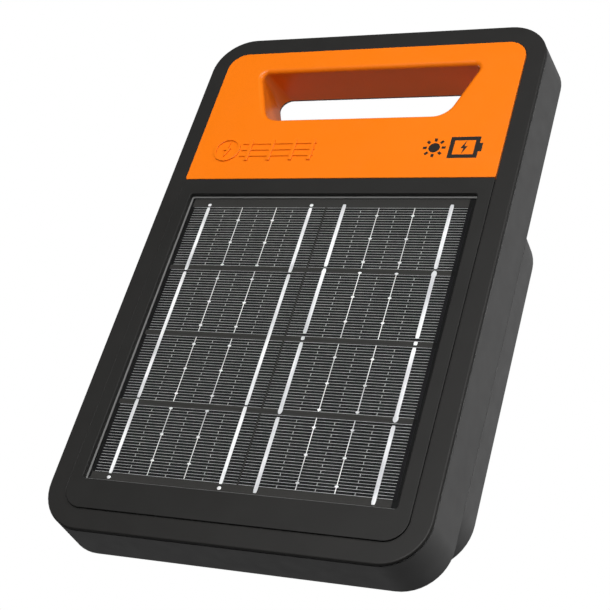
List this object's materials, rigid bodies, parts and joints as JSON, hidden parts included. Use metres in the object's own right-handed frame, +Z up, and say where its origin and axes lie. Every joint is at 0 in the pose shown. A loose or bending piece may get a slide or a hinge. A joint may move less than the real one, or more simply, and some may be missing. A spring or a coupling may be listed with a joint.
{
  "type": "solar fence energizer",
  "caption": "Slim upright solar fence energizer: solar window in a charcoal tray case, orange handle panel with a cut-through grip, rear housing with screw terminals and a post channel.",
  "frame": {"origin": "under the middle of the case, on the surface its lower edge stands on", "axes": "+X to the right seen from the front, +Y to the rear, +Z up; the solar window faces -Y"},
  "size_m": [0.1836, 0.0442, 0.286],
  "materials": {
    "frame_plastic": "fine moulded texture, charcoal",
    "orange_plastic": "satin moulded orange",
    "bezel_plastic": "fine moulded texture, charcoal",
    "clear_cover": "clear low-haze cover sheet",
    "silicon": "near-black silicon with fine printed fingers",
    "ribbon_metal": "tinned copper ribbon, bright",
    "laminate_black": "black laminate",
    "foam_black": "black foam tape",
    "case_plastic": "fine moulded texture, dark grey",
    "cover_plastic": "fine moulded texture, dark grey",
    "seal_rubber": "silicone seal",
    "vent_plastic": "black vent plug",
    "insert_brass": "knurled brass",
    "board_green": "solder mask over glass fibre",
    "ferrite": "sintered ferrite",
    "winding_copper": "taped copper winding",
    "capacitor_blue": "moulded blue box",
    "inductor_ferrite": "coated toroid",
    "chip_black": "moulded black epoxy",
    "connector_white": "natural nylon",
    "battery_sleeve": null,
    "nickel": "nickel strip",
    "cradle_plastic": "natural moulded plastic",
    "strap_rubber": "black elastic strap",
    "lead_red": "insulated lead",
    "lead_black": "insulated lead",
    "lead_fence": "high-voltage silicone lead",
    "lead_green": "insulated lead",
    "stud_steel": "stainless steel",
    "lug_brass": "tinned ring lug",
    "red_knob": "moulded red, satin",
    "green_knob": "moulded green, satin",
    "orange_button": "moulded orange",
    "plunger_red": "switch plunger",
    "led_clear": "clear epoxy lamp",
    "lens_clear": "clear moulded lens",
    "screw_steel": "zinc-plated steel"
  },
  "bodies": {
    "case": {"front_frame": "frame_plastic", "handle_panel": "orange_plastic", "solar_bezel": "bezel_plastic", "panel_glass": "clear_cover", "solar_cells": "silicon", "cell_ribbons": "ribbon_metal", "panel_backboard": "laminate_black", "panel_tape": "foam_black", "tray_shell": "case_plastic", "front_seal": "seal_rubber", "rear_cover": "cover_plastic", "case_seal": "seal_rubber", "breather_vent": "vent_plastic", "bracket_inserts": "insert_brass", "main_board": "board_green", "transformer_core": "ferrite", "transformer_winding": "winding_copper", "storage_capacitors": "capacitor_blue", "charge_inductor": "inductor_ferrite", "discharge_thyristor": "chip_black", "board_chips": "chip_black", "board_connectors": "connector_white", "battery_cells": "battery_sleeve", "cell_links": "nickel", "battery_cradle": "cradle_plastic", "battery_strap": "strap_rubber", "panel_leads": "lead_red", "battery_leads": "lead_black", "fence_lead": "lead_fence", "earth_lead": "lead_green", "fence_stud": "stud_steel", "earth_stud": "stud_steel", "fence_lug": "lug_brass", "earth_lug": "lug_brass", "button_switch": "chip_black", "status_led": "led_clear", "status_lens": "lens_clear", "cover_screws": "screw_steel", "case_screws": "screw_steel", "panel_screws": "screw_steel", "board_screws": "screw_steel"},
    "fence_clamp": {"fence_washer": "stud_steel"},
    "fence_grip": {"fence_knob": "red_knob"},
    "earth_clamp": {"earth_washer": "stud_steel"},
    "earth_grip": {"earth_knob": "green_knob"},
    "button": {"power_button": "orange_button", "switch_plunger": "plunger_red"}
  },
  "joints": [
    {"name": "fence_clamp_travel", "type": "slide", "parent": "case", "child": "fence_clamp", "axis": [0, 1, 0], "range_m": [0, 0.003]},
    {"name": "fence_knob_turn", "type": "hinge", "parent": "fence_clamp", "child": "fence_grip", "pos_m": [0.052, 0.00895, 0.036], "axis": [0, 1, 0], "range_deg": [0, 1080]},
    {"name": "earth_clamp_travel", "type": "slide", "parent": "case", "child": "earth_clamp", "axis": [0, 1, 0], "range_m": [0, 0.003]},
    {"name": "earth_knob_turn", "type": "hinge", "parent": "earth_clamp", "child": "earth_grip", "pos_m": [-0.052, 0.00895, 0.036], "axis": [0, 1, 0], "range_deg": [0, 1080]},
    {"name": "power_button_press", "type": "slide", "parent": "case", "child": "button", "axis": [1, 0, 0], "range_m": [0, 0.0012], "stiffness_N_per_m": 1500}
  ],
  "couplings": [
    {"joint": "fence_clamp_travel", "follows": "fence_knob_turn", "m_per_rad": 0.00015915},
    {"joint": "earth_clamp_travel", "follows": "earth_knob_turn", "m_per_rad": 0.00015915}
  ]
}
